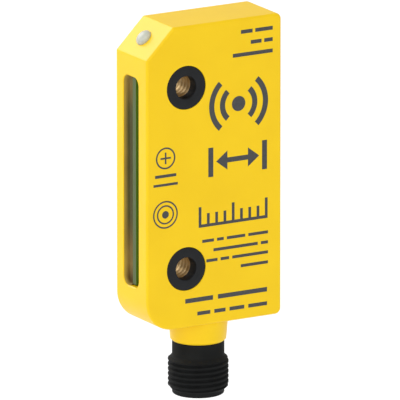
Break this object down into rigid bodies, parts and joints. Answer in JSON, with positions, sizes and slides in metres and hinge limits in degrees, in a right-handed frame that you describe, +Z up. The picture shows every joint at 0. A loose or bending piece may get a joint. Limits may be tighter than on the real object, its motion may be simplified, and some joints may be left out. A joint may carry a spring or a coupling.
{
  "type": "non-contact safety switch with round plug connector",
  "caption": "Flat yellow coded safety sensor with bushed screw holes, a resin-filled side pocket, a corner status light and a threaded round plug below.",
  "frame": {"origin": "centre of the two mounting holes, on the flat back face", "axes": "+X to the right seen from the front, +Y from the front to the back face, along the screws, +Z up, away from the plug"},
  "size_m": [0.0301, 0.0124, 0.0751],
  "materials": {
    "yellow_housing": "moulded, satin",
    "resin": "cast, clear amber",
    "board": "solder mask",
    "black_plastic": "moulded, fine texture",
    "brass_sleeve": "turned",
    "opal_plastic": "moulded, translucent",
    "lamp": "moulded",
    "ferrite": "sintered",
    "bobbin": "moulded",
    "copper_wire": "enamelled winding",
    "chip_plastic": "moulded",
    "plated_can": "plated",
    "capacitor": "moulded",
    "ceramic": "fired",
    "connector_plastic": "moulded, satin",
    "carrier_plastic": "moulded",
    "gold_plated": "turned and plated",
    "lead_brown": "extruded",
    "lead_white": "extruded",
    "lead_blue": "extruded",
    "lead_black": "extruded",
    "lead_grey": "extruded"
  },
  "bodies": {
    "root": {"buffer_capacitor": "capacitor", "bush_lower": "black_plastic", "bush_upper": "black_plastic", "casting_resin": "resin", "ceramic_capacitors": "ceramic", "chip_resistors": "chip_plastic", "circuit_board": "board", "coil_bobbin": "bobbin", "connector_shell": "connector_plastic", "contact_carrier": "carrier_plastic", "contact_pin_1": "gold_plated", "contact_pin_2": "gold_plated", "contact_pin_3": "gold_plated", "contact_pin_4": "gold_plated", "contact_pin_5": "gold_plated", "housing": "yellow_housing", "input_diode": "chip_plastic", "lead_1": "lead_brown", "lead_2": "lead_white", "lead_3": "lead_blue", "lead_4": "lead_black", "lead_5": "lead_grey", "light_guide": "opal_plastic", "microcontroller": "chip_plastic", "monitor_controller": "chip_plastic", "output_transistor_1": "chip_plastic", "output_transistor_2": "chip_plastic", "pot_core": "ferrite", "power_inductor": "ferrite", "quartz_crystal": "plated_can", "sensing_coil": "copper_wire", "sleeve_lower": "brass_sleeve", "sleeve_upper": "brass_sleeve", "status_lamp": "lamp", "voltage_regulator": "chip_plastic"}
  },
  "joints": []
}
